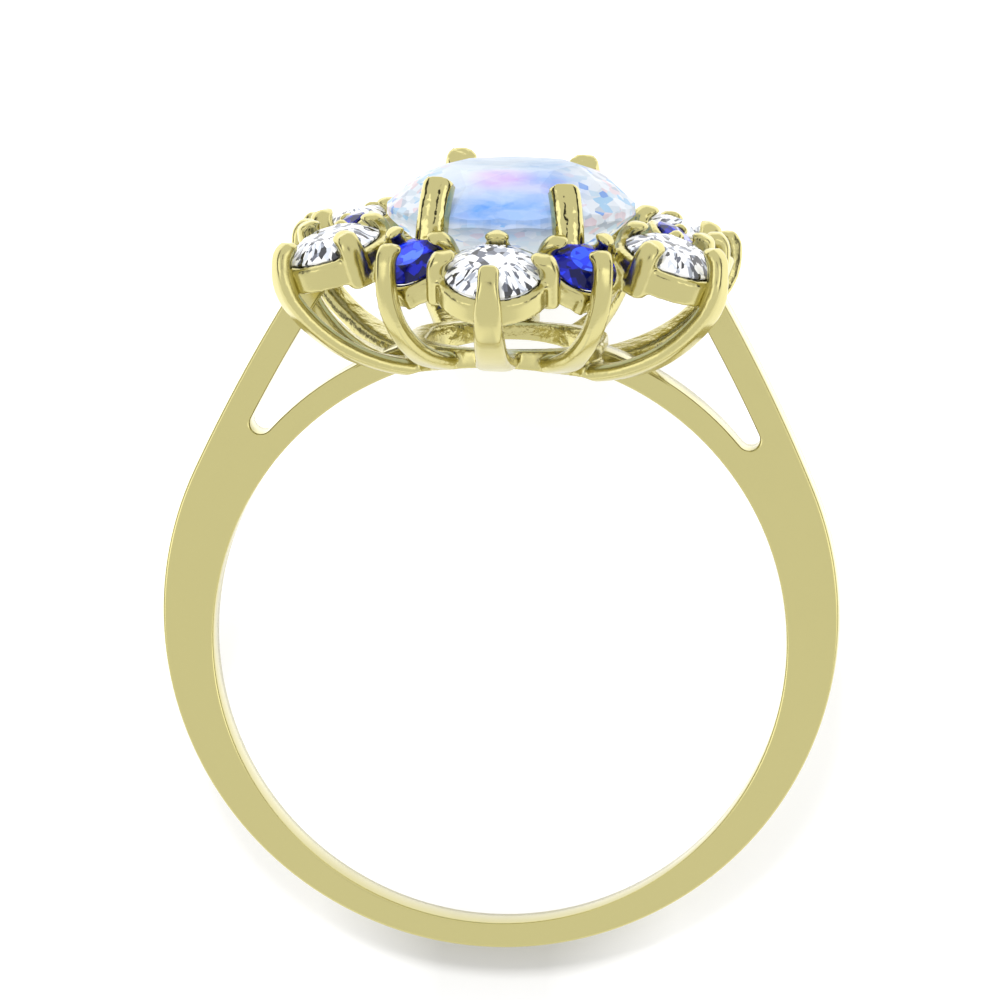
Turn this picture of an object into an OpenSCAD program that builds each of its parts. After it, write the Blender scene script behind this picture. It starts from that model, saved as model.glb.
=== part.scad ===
// Moonstone cluster ring in yellow gold, lying on its side as it rests on a table.
// Millimetres. X runs across the ring, Y towards the head, Z up from the floor.
// The ring is drawn about the middle of its finger hole, with x across, y along
// the finger and z towards the head, and each part is then laid down by laid().

/* [Finger hole and shank] */

// Radius of the finger hole
hole_r = 8.25;          // [7.6:0.05:9.4]
// Width of the shank along the finger
shank_width = 1.5;      // [1.3:0.05:2.0]
// Half of the width over the shank
outer_r = 9.73;         // [9.6:0.01:9.9]
// Thickness of the shank opposite the head
bottom_thick = 0.72;    // [0.6:0.02:1.0]

/* [Shoulders] */

// Thickness of the rising arm of a shoulder
arm_thick = 0.82;       // [0.7:0.02:1.0]
// Thickness of the rail that stays on the finger
rail_thick = 0.7;       // [0.6:0.05:0.9]
// Radius of the rounded foot of the window
window_foot_r = 0.32;   // [0.24:0.02:0.4]
// Height at which an arm runs into its wire
arm_top = 10.5;         // [10.3:0.1:10.6]

/* [Oval basket] */

// Length of the oval over its width
oval = 1.12;            // [1.08:0.01:1.16]
// Half width of the base ring
base_r = 2.8;           // [2.6:0.05:2.9]
// Width of the metal in the base ring
base_bar = 0.55;        // [0.45:0.05:0.7]
// Height of the top of the base ring
base_top = 8.75;        // [8.7:0.05:9.0]

/* [Large round stones] */

// Radius of a large round stone
large_r = 1.375;        // [1.25:0.025:1.4]
// Distance of a large stone from the middle, measured across
large_reach = 5.54;     // [5.5:0.02:5.6]
// Height of the girdle of the four large stones at the sides
large_z = 11.42;        // [11.36:0.02:11.48]
// Outward lean of those four in degrees
large_lean = 21;        // [18:1:24]
// How much lower the two end stones sit
end_drop = 0.14;        // [0.1:0.02:0.2]
// Outward lean of the two end stones in degrees
end_lean = 26;          // [22:1:28]

/* [Small round stones] */

// Radius of a small round stone
small_r = 0.95;         // [0.85:0.025:1.0]
// Distance of a small stone from the middle, measured across
small_reach = 4.88;     // [4.8:0.02:4.96]
// Height of its girdle
small_z = 11.35;        // [11.25:0.05:11.4]
// Outward lean of a small stone in degrees
small_lean = 38;        // [34:1:42]

/* [Moonstone] */

// Half width of the moonstone
moon_a = 3.55;          // [3.4:0.05:3.6]
// Half length of the moonstone
moon_b = 4.4;           // [4.3:0.05:4.45]
// Height of the middle of its girdle
moon_z = 12.35;         // [12.3:0.05:12.5]
// Height of the crown above the middle of the girdle
moon_crown = 1.33;      // [1.1:0.01:1.5]
// Depth of the pavilion below the middle of the girdle
moon_pavilion = 3.25;   // [2.8:0.05:3.4]
// Roll of the moonstone in its claws in degrees
moon_roll = 1.4;        // [0:0.2:2]

/* [Claws] */

// Radius of a claw at the moonstone
claw_r = 0.46;          // [0.42:0.02:0.5]
// Height of the tips of the four claws
claw_top = 13.6;        // [13.5:0.02:13.8]
// Radius of a small claw
bead_r = 0.32;          // [0.28:0.02:0.34]
// Clearance between a stone and the metal
clearance = 0.03;       // [0.02:0.01:0.05]

/* [Laid on the floor] */

// Slope of the finger axis from upright in degrees
rest_tilt = 20.68;      // [19:0.01:22]
// Lift that puts the lowest metal on the floor
rest_lift = 3.872;      // [0:0.001:20]
// Shift that centres the ring along Y
rest_shift = -2.803;    // [-10:0.001:10]

/* [Hidden] */

$fn = 64;
// Stones in the cluster, large and small by turns
cluster = 6;
step_angle = 360 / cluster;
// Circle of the shank, moved towards the head so that the bottom is thin
shank_rise = outer_r - hole_r - bottom_thick;
// Height at which an arm leaves the circle of the shank, touching it
arm_z = 4.66;
arm_x = sqrt(outer_r * outer_r - (arm_z - shank_rise) * (arm_z - shank_rise));
arm_angle = atan2(arm_z - shank_rise, arm_x);
// An arm starts this much lower, so that it overlaps the shank
arm_lap = 0.5;
// Large circle that carries the outer edge of an arm
arm_r = 50;
arm_cx = arm_x - arm_r * cos(arm_angle);
arm_cz = arm_z - arm_r * sin(arm_angle);
rail_r = hole_r + rail_thick;
// Foot of the window: centre of the small circle that touches arm and rail,
// which the opening then widens by a hair
foot_swell = 0.02;
foot_d1 = rail_r + window_foot_r;
foot_d2 = arm_r - arm_thick - window_foot_r;
foot_k = (foot_d1 * foot_d1 - foot_d2 * foot_d2 + arm_cx * arm_cx + arm_cz * arm_cz) / 2;
foot_n = sqrt(arm_cx * arm_cx + arm_cz * arm_cz);
foot_s = foot_k / foot_n;
foot_t = sqrt(foot_d1 * foot_d1 - foot_s * foot_s);
foot = [foot_s * arm_cx + foot_t * arm_cz, foot_s * arm_cz - foot_t * arm_cx] / foot_n;
// Base ring: two half circles joined by straights of this half length
base_straight = 0.4;
// The base ring is drawn from inside the finger hole, which then trims it
base_low = 7;
// Collets: walls, height, lip above the girdle, share of the stone left open below
large_wall = 0.27;
small_wall = 0.24;
collet_h = 0.8;
collet_lip = 0.05;
collet_open = 0.72;
// Small claws: place out from the stone's middle, place sideways beyond the
// girdle, foot and centre of the round tip, both counted from the girdle
large_side_claw = [-0.1, 0.14, -1.1, 0.32];
large_inner_claw = [-0.1, 0, -0.7, 0.1];
small_side_claw = [-0.62, -0.1, -0.7, 0.3];
// Cut of the round stones, as shares of their radius
table_share = 0.56;
crown_share = 0.30;
pavilion_share = 0.86;
girdle_half = 0.04;
// Cut of the moonstone
moon_table = 0.53;
moon_girdle = 0.1;
moon_swell = 0.06;
moon_room = 0.01;
// Share of the radius at which the lower halves of a pavilion end
lower_share = 0.24;
// Wires: width, and the distances at which they start and leave the finger's curve
wire_w = 0.72;
wire_foot = 2.7;
wire_sit = 3.3;
// Side view of a wire: reach of its outer face, radii of its lower and upper
// arc, thickness, height at which it stands upright, height of its tip
large_wire = [7.28, 5.6, 2.0, 0.55, 11.0, 11.42];
small_wire = [6.18, 4.2, 2.6, 0.52, 11.2, 11.55];
// Foot of a claw at the moonstone, and the place of its tip seen from above
claw_foot = [1.96, 4.04, 11.3];
claw_tip = [1.76, 3.9];

// Laying the ring down: head towards Y, near side up
module laid() {
  translate([0, rest_shift, rest_lift])
  rotate([rest_tilt - 90, 0, 0])
  children();
}

// Horizontal stretch of a spoke at an angle counted from the near end
function spoke(a) = sqrt(pow(sin(a), 2) + pow(oval * cos(a), 2));
function spoke_turn(a) = atan2(-oval * cos(a), sin(a));
function seat_turn(a) = atan2(-cos(a), oval * sin(a));

// Frame of a stone seat: x out and down the slope, z out of the table
module at_seat(a, reach, z, lean) {
  translate([reach * sin(a), -reach * oval * cos(a), z])
  rotate([0, 0, seat_turn(a)])
  rotate([0, lean, 0])
  children();
}

module at_large(i) {
  end = i % 3 == 0;
  at_seat(i * step_angle, large_reach, large_z - (end ? end_drop : 0), end ? end_lean : large_lean)
  children();
}

module at_small(i) {
  at_seat((i + 0.5) * step_angle, small_reach, small_z, small_lean) children();
}

// Brilliant cut: table, stars, kites, girdle, lower halves, pavilion mains
function ring_pts(n, turn, ra, rb, z) =
  [for (i = [0 : n - 1]) [ra * cos(360 / n * i + turn), rb * sin(360 / n * i + turn), z]];

module brilliant(a, b, crown, pavilion, table, half, swell) {
  mid = (1 + table) / 2;
  low = lower_share;
  c = cos(22.5);
  z_mid = half + (crown - half) * (1 - mid * c) / (1 - table) + swell;
  z_low = -half - (pavilion - half) * (1 - low * c);
  pts = concat(
    ring_pts(8, 0, a * table, b * table, crown),
    ring_pts(8, 22.5, a * mid, b * mid, z_mid),
    ring_pts(16, 0, a, b, half),
    ring_pts(16, 0, a, b, -half),
    ring_pts(8, 22.5, a * low, b * low, z_low),
    [[0, 0, -pavilion]]);
  faces = concat(
    [[for (i = [7 : -1 : 0]) i]],
    [for (i = [0 : 7]) [i, (i + 1) % 8, 8 + i]],
    [for (i = [0 : 7]) [i, 8 + i, 8 + (i + 7) % 8]],
    [for (i = [0 : 7]) [8 + i, 16 + 2 * i, 8 + (i + 7) % 8]],
    [for (i = [0 : 7]) [8 + i, 16 + 2 * i + 1, 16 + 2 * i]],
    [for (i = [0 : 7]) [8 + i, 16 + (2 * i + 2) % 16, 16 + 2 * i + 1]],
    [for (i = [0 : 15]) [16 + i, 16 + (i + 1) % 16, 32 + (i + 1) % 16, 32 + i]],
    [for (i = [0 : 7]) [32 + 2 * i, 32 + 2 * i + 1, 48 + i]],
    [for (i = [0 : 7]) [32 + 2 * i + 1, 32 + (2 * i + 2) % 16, 48 + i]],
    [for (i = [0 : 7]) [32 + 2 * i, 48 + i, 56, 48 + (i + 7) % 8]]);
  polyhedron(points = pts, faces = faces, convexity = 2);
}

module round_stone(r) {
  brilliant(r, r, r * crown_share, r * pavilion_share, table_share, girdle_half, 0);
}

// Room a round stone needs, with the clearance all round it
module round_room(r) {
  e = clearance;
  rotate_extrude()
  polygon([[0, -r * pavilion_share - 1.3 * e],
           [r + e, -girdle_half - e],
           [r + e, girdle_half + e],
           [r * table_share + e, r * crown_share + e],
           [0, r * crown_share + e]]);
}

module moonstone_body(grow) {
  translate([0, 0, moon_z])
  rotate([0, -moon_roll, 0])
  scale(1 + grow)
  brilliant(moon_a, moon_b, moon_crown, moon_pavilion, moon_table, moon_girdle, moon_swell);
}

// Flat outline of shank and shoulders, x across and y towards the head
module arm_edge(r) {
  intersection() {
    translate([arm_cx, arm_cz]) circle(r = r, $fn = 96);
    translate([-arm_cx, arm_cz]) circle(r = r, $fn = 96);
  }
}

// Opening between arm and rail, bounded by both and rounded at its foot
module window_half() {
  arm_c = [arm_cx, arm_cz];
  t1 = foot * rail_r / foot_d1;
  t2 = arm_c + (foot - arm_c) * (arm_r - arm_thick) / foot_d2;
  intersection() {
    difference() {
      arm_edge(arm_r - arm_thick);
      circle(r = rail_r, $fn = 96);
    }
    polygon([t1, t2, [arm_x, t2[1]], [arm_x, arm_top + 1], [0, arm_top + 1], [0, t1[1]]]);
  }
  translate(foot) circle(r = window_foot_r + foot_swell, $fn = 48);
}

module window_outline() {
  window_half();
  mirror([1, 0]) window_half();
}

module shank_outline() {
  difference() {
    union() {
      translate([0, shank_rise]) circle(r = outer_r, $fn = 128);
      intersection() {
        arm_edge(arm_r);
        translate([-outer_r, arm_z - arm_lap]) square([2 * outer_r, arm_top - arm_z + arm_lap]);
      }
    }
    window_outline();
    translate([-base_r + base_bar / 2, 0]) square([2 * base_r - base_bar, arm_top + 1]);
  }
}

module shank() {
  rotate([90, 0, 0])
  linear_extrude(shank_width, center = true)
  shank_outline();
}

module base_outline(r) {
  translate([0, base_straight]) circle(r = r);
  translate([0, -base_straight]) circle(r = r);
  translate([-r, -base_straight]) square([2 * r, 2 * base_straight]);
}

module base_ring() {
  translate([0, 0, base_low])
  linear_extrude(base_top - base_low)
  difference() {
    base_outline(base_r);
    base_outline(base_r - base_bar);
  }
}

// Side view filled in, bounded by a lower arc, an upper arc that runs on from it
// and an upright
module wire_fill(c1, r1, c2, r2, top_z) {
  far = 2 * outer_r;
  join = (c2 - c1) / norm(c2 - c1);
  intersection() {
    translate(c1) circle(r = r1, $fn = 96);
    polygon([c1, c1 + far * join, c1 + far * (join + [0, -1]), c1 + far * [-0.5, -1]]);
  }
  intersection() {
    translate(c2) circle(r = r2, $fn = 96);
    translate([c2[0], top_z - far]) square(far);
  }
  translate([c1[0], c2[1]]) square([c2[0] + r2 - c1[0], top_z - c2[1]]);
}

// Side view of a wire with its round tip
module wire_outline(out, sit_z, r1, r2, t, up_z, tip_z) {
  dz = up_z - sit_z - r1;
  dx = sqrt((r1 - r2) * (r1 - r2) - dz * dz);
  c2 = [out - r2, up_z];
  c1 = c2 - [dx, dz];
  intersection() {
    difference() {
      wire_fill(c1, r1, c2, r2, tip_z);
      wire_fill(c1, r1 - t, c2, r2 - t, tip_z + t);
    }
    translate([wire_foot, 0]) square(2 * outer_r);
  }
  translate([out - t / 2, tip_z]) circle(r = t / 2, $fn = 32);
}

// A wire in the spoke at one angle, its tip lower by drop
module wire(a, w, drop) {
  sit_z = sqrt(hole_r * hole_r - pow(wire_sit * sin(a), 2));
  rotate([0, 0, spoke_turn(a)])
  rotate([90, 0, 0])
  linear_extrude(wire_w, center = true)
  wire_outline(w[0] * spoke(a), sit_z, w[1], w[2], w[3], w[4], w[5] - drop);
}

// Small claw beside or behind a stone of radius r, on one side or the other
module small_claw(r, c, side, in_line) {
  x = c[0] - (in_line ? r : 0);
  y = side * (in_line ? c[1] : r + c[1]);
  translate([x, y, c[2]]) cylinder(r = bead_r, h = c[3] - c[2]);
  translate([x, y, c[3]]) sphere(r = bead_r);
}

module collet_wall(r, wall) {
  translate([0, 0, collet_lip - collet_h]) cylinder(r = r + wall, h = collet_h);
}

module large_collet() {
  collet_wall(large_r, large_wall);
  for (side = [-1, 1]) small_claw(large_r, large_side_claw, side, false);
  small_claw(large_r, large_inner_claw, 1, true);
}

module small_collet() {
  collet_wall(small_r, small_wall);
  for (side = [-1, 1]) small_claw(small_r, small_side_claw, side, false);
}

module collet_bore(r) {
  translate([0, 0, -collet_h]) cylinder(r = r * collet_open, h = collet_h);
}

// Claw at the moonstone, leaning in towards its tip, which is cut flat
module claw(sx, sy) {
  low = [sx * claw_foot[0], sy * claw_foot[1], claw_foot[2]];
  top = [sx * claw_tip[0], sy * claw_tip[1], claw_top - claw_r / 2];
  d = top - low;
  translate(low)
  rotate([0, acos(d[2] / norm(d)), atan2(d[1], d[0])]) {
    cylinder(r = claw_r, h = norm(d));
    translate([0, 0, norm(d)]) intersection() {
      sphere(r = claw_r);
      translate([0, 0, -claw_r / 2]) cube([3, 3, 2] * claw_r, center = true);
    }
  }
}

module gold_mount() {
  color([0.82, 0.75, 0.47])
  laid()
  difference() {
    union() {
      shank();
      base_ring();
      for (i = [0 : cluster - 1]) {
        wire(i * step_angle, large_wire, i % 3 == 0 ? end_drop : 0);
        wire((i + 0.5) * step_angle, small_wire, 0);
        at_large(i) large_collet();
        at_small(i) small_collet();
      }
      for (sx = [-1, 1]) for (sy = [-1, 1]) claw(sx, sy);
    }
    for (i = [0 : cluster - 1]) {
      at_large(i) round_room(large_r);
      at_large(i) collet_bore(large_r);
      at_small(i) round_room(small_r);
      at_small(i) collet_bore(small_r);
    }
    moonstone_body(moon_room);
    rotate([90, 0, 0]) cylinder(r = hole_r, h = 30, center = true, $fn = 128);
  }
}

module moonstone() {
  color([0.80, 0.87, 0.98])
  laid()
  moonstone_body(0);
}

module diamond(i) {
  color([0.92, 0.93, 0.95])
  laid()
  at_large(i) round_stone(large_r);
}

module sapphire(i) {
  color([0.08, 0.16, 0.85])
  laid()
  at_small(i) round_stone(small_r);
}

module diamond_1() { diamond(0); }
module diamond_2() { diamond(1); }
module diamond_3() { diamond(2); }
module diamond_4() { diamond(3); }
module diamond_5() { diamond(4); }
module diamond_6() { diamond(5); }
module sapphire_1() { sapphire(0); }
module sapphire_2() { sapphire(1); }
module sapphire_3() { sapphire(2); }
module sapphire_4() { sapphire(3); }
module sapphire_5() { sapphire(4); }
module sapphire_6() { sapphire(5); }

gold_mount();
moonstone();
diamond_1();
diamond_2();
diamond_3();
diamond_4();
diamond_5();
diamond_6();
sapphire_1();
sapphire_2();
sapphire_3();
sapphire_4();
sapphire_5();
sapphire_6();
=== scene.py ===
# %% [markdown]
# # A moonstone cluster ring
# The ring is yellow gold: a slim flat-sided shank, open shoulders, an oval basket of
# twelve wires, and a halo of round stones about an oval moonstone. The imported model
# comes in first. It fixes where everything lies, and each piece below is laid on it.

# %% Load the frame
import math
import random

import bmesh
import bpy
from mathutils import Matrix, Vector


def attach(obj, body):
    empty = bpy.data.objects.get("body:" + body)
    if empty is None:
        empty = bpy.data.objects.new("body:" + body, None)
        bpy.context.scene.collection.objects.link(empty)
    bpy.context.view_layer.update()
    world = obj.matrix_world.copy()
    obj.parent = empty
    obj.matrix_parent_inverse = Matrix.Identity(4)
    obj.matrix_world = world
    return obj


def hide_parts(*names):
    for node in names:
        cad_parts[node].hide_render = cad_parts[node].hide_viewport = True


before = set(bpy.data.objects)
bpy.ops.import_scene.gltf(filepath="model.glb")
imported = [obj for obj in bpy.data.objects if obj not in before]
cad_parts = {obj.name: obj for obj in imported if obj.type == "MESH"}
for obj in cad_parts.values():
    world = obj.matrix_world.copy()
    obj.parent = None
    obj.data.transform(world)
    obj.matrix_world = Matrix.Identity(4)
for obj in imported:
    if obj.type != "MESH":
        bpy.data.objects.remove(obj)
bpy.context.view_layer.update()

# %% [markdown]
# A jeweller thinks of a ring standing up: x across it, y along the finger, z towards
# the stones. The real ring rests on its side, leaning on the rear of its head. Every
# piece could be drawn lying down, but then no size would be a plain number. So each is
# modelled in millimetres in the upright frame, and one matrix, LAY, turns it down onto
# the floor and into metres as its last step.

# %% The upright frame and how it is laid down
MM = 0.001
REST_TILT = 20.68
REST_LIFT = 3.872
REST_SHIFT = -2.803
TURN = Matrix.Rotation(math.radians(REST_TILT - 90), 4, "X")
LAY = Matrix.Scale(MM, 4) @ Matrix.Translation((0, REST_SHIFT, REST_LIFT)) @ TURN
WELD = 0.0005
LARGEST_SMOOTH_FACE = 40
scene = bpy.context.scene
print("the head points along", [round(v, 3) for v in TURN.to_3x3() @ Vector((0, 0, 1))])


# %% Finish a piece
def add_object(bm, name, material):
    """Turns a bmesh into an object at the origin, with its place in its mesh."""
    mesh = bpy.data.meshes.new(name)
    bm.to_mesh(mesh)
    bm.free()
    mesh.materials.append(material)
    thing = bpy.data.objects.new(name, mesh)
    scene.collection.objects.link(thing)
    return thing


def finish_piece(bm, name, material, sharp, node=None):
    """Closes the mesh, lays it down and puts it in the scene as one named piece.

    Edges that turn by more than sharp degrees stay crisp in the shading.
    """
    bmesh.ops.remove_doubles(bm, verts=bm.verts, dist=WELD)
    bmesh.ops.recalc_face_normals(bm, faces=bm.faces)
    bmesh.ops.transform(bm, matrix=LAY, verts=bm.verts)
    piece = add_object(bm, name, material)
    piece.data.shade_smooth()
    piece.data.set_sharp_from_angle(angle=math.radians(sharp))
    for face in piece.data.polygons:
        if len(face.vertices) > LARGEST_SMOOTH_FACE:
            face.use_smooth = False
    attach(piece, "root")
    if node:
        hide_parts(node)
    print(name, len(piece.data.polygons), "faces")


# %% [markdown]
# ## Finishes
# The ring has one metal and three kinds of stone. A picture of each could be wrapped
# round its piece, but its highlights would stay put as the ring turns. So each finish is
# a set of nodes that read a place on the piece, which need no picture and no unwrapping.
# A few helpers make the nodes that every finish uses.

# %% A small kit for materials
def new_material(name):
    material = bpy.data.materials.new(name)
    material.use_nodes = True
    tree = material.node_tree
    return material, tree, tree.nodes["Principled BSDF"]


def set_inputs(node, values):
    for name, value in values.items():
        node.inputs[name].default_value = value


def split(tree, vector):
    parts = tree.nodes.new("ShaderNodeSeparateXYZ")
    tree.links.new(vector, parts.inputs[0])
    return parts.outputs


def object_place(tree):
    return tree.nodes.new("ShaderNodeTexCoord").outputs["Object"]


def noise(tree, place, values):
    pattern = tree.nodes.new("ShaderNodeTexNoise")
    set_inputs(pattern, values)
    tree.links.new(place, pattern.inputs["Vector"])
    return pattern.outputs["Fac"]


def spread(tree, value, low, high, start=0.35, end=0.65):
    """Maps the range start to end of a pattern to the range low to high."""
    box = tree.nodes.new("ShaderNodeMapRange")
    set_inputs(box, {"From Min": start, "From Max": end, "To Min": low, "To Max": high})
    tree.links.new(value, box.inputs["Value"])
    return box.outputs["Result"]


def add_bump(tree, shader, height, values, below=None):
    """Raises the surface by a pattern, on top of the bump below if there is one."""
    bump = tree.nodes.new("ShaderNodeBump")
    set_inputs(bump, values)
    tree.links.new(height, bump.inputs["Height"])
    if below:
        tree.links.new(below, bump.inputs["Normal"])
    tree.links.new(bump.outputs["Normal"], shader.inputs["Normal"])
    return bump


# %% [markdown]
# ## Yellow gold
# Polished gold has no pattern of its own: all its colour comes from what it mirrors. One
# even metal would look too perfect, as if it were drawn. So the gold has a faint ripple,
# left by the casting and the buff, as a bump far smaller than the wires, and its
# roughness drifts a little from place to place. The wheel never reached the back of the
# basket, so there the skin of the casting stays.

# %% Yellow gold
GOLD = (0.6, 0.546, 0.245, 1)
DRIFT = {"Scale": 900, "Detail": 3}
CAST_SIZE, CAST_DEPTH = 0.42, 0.055
CAST_FROM, CAST_TO = 0.0062, 0.0082
RIPPLE_STRENGTH = 0.6


def gold_finish(name, ripple, rough, cast_behind=False):
    """The ripple has a size and a depth in millimetres, rough a least and a most."""
    ripple_size, ripple_depth = ripple
    material, tree, shader = new_material(name)
    set_inputs(shader, {"Base Color": GOLD, "Metallic": 1})
    place = object_place(tree)
    tree.links.new(spread(tree, noise(tree, place, DRIFT), *rough), shader.inputs["Roughness"])
    waves = noise(tree, place, {"Scale": 1 / (ripple_size * MM), "Detail": 2})
    depth = {"Strength": RIPPLE_STRENGTH, "Distance": ripple_depth * MM}
    bump = add_bump(tree, shader, waves, depth)
    if cast_behind:
        grain = noise(tree, place, {"Scale": 1 / (CAST_SIZE * MM), "Detail": 3})
        pits = add_bump(tree, shader, grain, {"Distance": CAST_DEPTH * MM}, bump.outputs["Normal"])
        behind = spread(tree, split(tree, place)[2], 1, 0, CAST_FROM, CAST_TO)
        tree.links.new(behind, pits.inputs["Strength"])
    return material


gold_flat = gold_finish("gold_flat_polished", (3.0, 0.004), (0.14, 0.2))
gold_polished = gold_finish("gold_polished", (0.9, 0.01), (0.17, 0.25))
gold_basket = gold_finish("gold_polished_in_front", (0.9, 0.01), (0.17, 0.25), cast_behind=True)
gold_hammered = gold_finish("gold_hammered", (0.5, 0.08), (0.08, 0.15))
print("four finishes of one gold, colour", GOLD[:3])

# %% [markdown]
# ## Cut stones
# The stones are solids that bend light, so each is partly clear glass. What the eye
# sees inside a cut stone is a crowd of small mirror images from the facets below. Glass
# alone shows them only in the right room and after many samples, so they are painted
# too, as cells of chance colour: painted reflections. Every corner of a stone knows its
# place in the cut, and the patterns read that place, so they sit in the stone from all
# sides. The next cells hold the arithmetic, the colours and the cells that the stones share.

# %% Read a stone's notes, and reckon with them
def stone_note(tree, name, output):
    reader = tree.nodes.new("ShaderNodeAttribute")
    reader.attribute_name = name
    return reader.outputs[output]


def stone_place(tree):
    return stone_note(tree, "cut_place", "Vector")


def facet_shade(tree):
    return stone_note(tree, "facet_shade", "Fac")


def feed(tree, socket, value):
    """Gives a socket a number, a colour or another node's output."""
    if isinstance(value, (int, float)):
        socket.default_value = value
    elif isinstance(value, tuple):
        socket.default_value = (*value, 1)
    else:
        tree.links.new(value, socket)


def reckon(tree, kind, *values):
    """One step of arithmetic on numbers or other nodes' outputs."""
    step = tree.nodes.new("ShaderNodeMath")
    step.operation = kind
    for socket, value in zip(step.inputs, values):
        feed(tree, socket, value)
    return step.outputs[0]


def mix_values(tree, share, below, above):
    """Blends two values; share is 0 for below and 1 for above."""
    change = reckon(tree, "SUBTRACT", above, below)
    return reckon(tree, "ADD", below, reckon(tree, "MULTIPLY", change, share))


# %% Colours from values
def colour_steps(tree, value, stops):
    ramp = tree.nodes.new("ShaderNodeValToRGB")
    ramp.color_ramp.interpolation = "CONSTANT"
    while len(ramp.color_ramp.elements) < len(stops):
        ramp.color_ramp.elements.new(0.5)
    for element, (place, colour) in zip(ramp.color_ramp.elements, stops):
        element.position = place
        element.color = (*colour, 1)
    tree.links.new(value, ramp.inputs["Fac"])
    return ramp.outputs["Color"]


def blend_colours(tree, share, below, above, kind="MIX"):
    box = tree.nodes.new("ShaderNodeMix")
    box.data_type = "RGBA"
    box.blend_type = kind
    colours = [i for i in box.inputs if i.type == "RGBA"]
    for socket, value in zip((box.inputs[0], *colours), (share, below, above)):
        feed(tree, socket, value)
    return next(o for o in box.outputs if o.type == "RGBA")


# %% Patterns in a cut stone
def polar_place(tree, turns, rings):
    """The place in the stone as angle and distance, scaled to cells, and the distance."""
    x, y, z = split(tree, stone_place(tree))
    angle = reckon(tree, "ARCTAN2", y, x)
    square = reckon(tree, "ADD", reckon(tree, "MULTIPLY", x, x), reckon(tree, "MULTIPLY", y, y))
    reach = reckon(tree, "SQRT", square)
    packed = tree.nodes.new("ShaderNodeCombineXYZ")
    tree.links.new(reckon(tree, "MULTIPLY", angle, turns), packed.inputs[0])
    tree.links.new(reckon(tree, "MULTIPLY", reach, rings), packed.inputs[1])
    tree.links.new(z, packed.inputs[2])
    return packed.outputs[0], reach


def cell_chance(tree, place, scale):
    """A chance value for each cell of a pattern of straight-sided cells."""
    cells = tree.nodes.new("ShaderNodeTexVoronoi")
    cells.inputs["Scale"].default_value = scale
    tree.links.new(place, cells.inputs["Vector"])
    parts = tree.nodes.new("ShaderNodeSeparateColor")
    tree.links.new(cells.outputs["Color"], parts.inputs[0])
    return parts.outputs[0]


# %% [markdown]
# ## Diamond
# A diamond has no colour, and yet it shows a star of black and white: each facet below
# throws back a light or a dark part of the room. Plain glass would look like a grey
# drop here, where the room is white all round. So the star is painted reflection: cells
# laid out by angle and distance make its rays, cells in plain space make its middle,
# and five tones from black to white colour them.

# %% Diamond
RAY_CELLS = 1.3
DIAMOND_MIDDLE, DIAMOND_CELLS = 0.5, 7.5
# Tones of the painted reflections, from black to white: where each starts, and its colour
DIAMOND_REFLECTION_TONES = ((0, (0.005, 0.006, 0.012)), (0.22, (0.09, 0.1, 0.14)),
                 (0.31, (0.32, 0.35, 0.42)), (0.4, (0.66, 0.70, 0.78)), (0.5, (0.97, 0.98, 1.0)))


def diamond_finish():
    material, tree, shader = new_material("diamond_brilliant")
    rays_at, reach = polar_place(tree, turns=8.5, rings=5.0)
    rays = cell_chance(tree, rays_at, RAY_CELLS)
    middle = cell_chance(tree, stone_place(tree), DIAMOND_CELLS)
    at_rim = reckon(tree, "GREATER_THAN", reach, DIAMOND_MIDDLE)
    chance = mix_values(tree, 0.2, mix_values(tree, at_rim, middle, rays), facet_shade(tree))
    tree.links.new(colour_steps(tree, chance, DIAMOND_REFLECTION_TONES), shader.inputs["Base Color"])
    set_inputs(shader, {"Roughness": 0.02, "IOR": 2.4, "Specular IOR Level": 0.2,
                        "Transmission Weight": 0.25})
    return material


diamond_clear = diamond_finish()
print("diamond in", len(DIAMOND_REFLECTION_TONES), "tones")

# %% [markdown]
# ## Sapphire
# A sapphire is nearly black at its rim and flashes a strong blue under its table. One
# blue for the whole stone would look like a glass bead. So the rays at the rim and the
# larger cells inside have a set of blues each: the stone's own blue with painted shade
# at the rim and painted flashes inside. The distance from the middle of the stone
# chooses between them.

# %% Sapphire
SAPPHIRE_MIDDLE, SAPPHIRE_CELLS = 0.52, 3.6
# The stone's own blue, darkened at the rim as painted shade and brightened inside as painted flashes
SAPPHIRE_RIM_SHADE = ((0, (0.001, 0.002, 0.06)), (0.4, (0.002, 0.005, 0.2)),
                (0.6, (0.004, 0.01, 0.4)), (0.78, (0.01, 0.03, 0.8)))
SAPPHIRE_TABLE_FLASHES = ((0, (0.004, 0.018, 0.6)), (0.25, (0.008, 0.035, 0.92)),
                  (0.5, (0.025, 0.09, 1.0)), (0.78, (0.07, 0.18, 1.0)))


def sapphire_finish():
    material, tree, shader = new_material("sapphire_royal_blue")
    rays_at, reach = polar_place(tree, turns=3.0, rings=4.5)
    rays = mix_values(tree, 0.5, cell_chance(tree, rays_at, RAY_CELLS), facet_shade(tree))
    cells = cell_chance(tree, stone_place(tree), SAPPHIRE_CELLS)
    middle = mix_values(tree, 0.25, cells, facet_shade(tree))
    inside = reckon(tree, "LESS_THAN", reach, SAPPHIRE_MIDDLE)
    colour = blend_colours(tree, inside, colour_steps(tree, rays, SAPPHIRE_RIM_SHADE),
                           colour_steps(tree, middle, SAPPHIRE_TABLE_FLASHES))
    tree.links.new(colour, shader.inputs["Base Color"])
    set_inputs(shader, {"Roughness": 0.03, "IOR": 1.77, "Specular IOR Level": 0.12,
                        "Transmission Weight": 0.15})
    return material


sapphire_blue = sapphire_finish()
print("sapphire in", len(SAPPHIRE_RIM_SHADE), "tones at the rim and", len(SAPPHIRE_TABLE_FLASHES), "inside")
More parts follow.
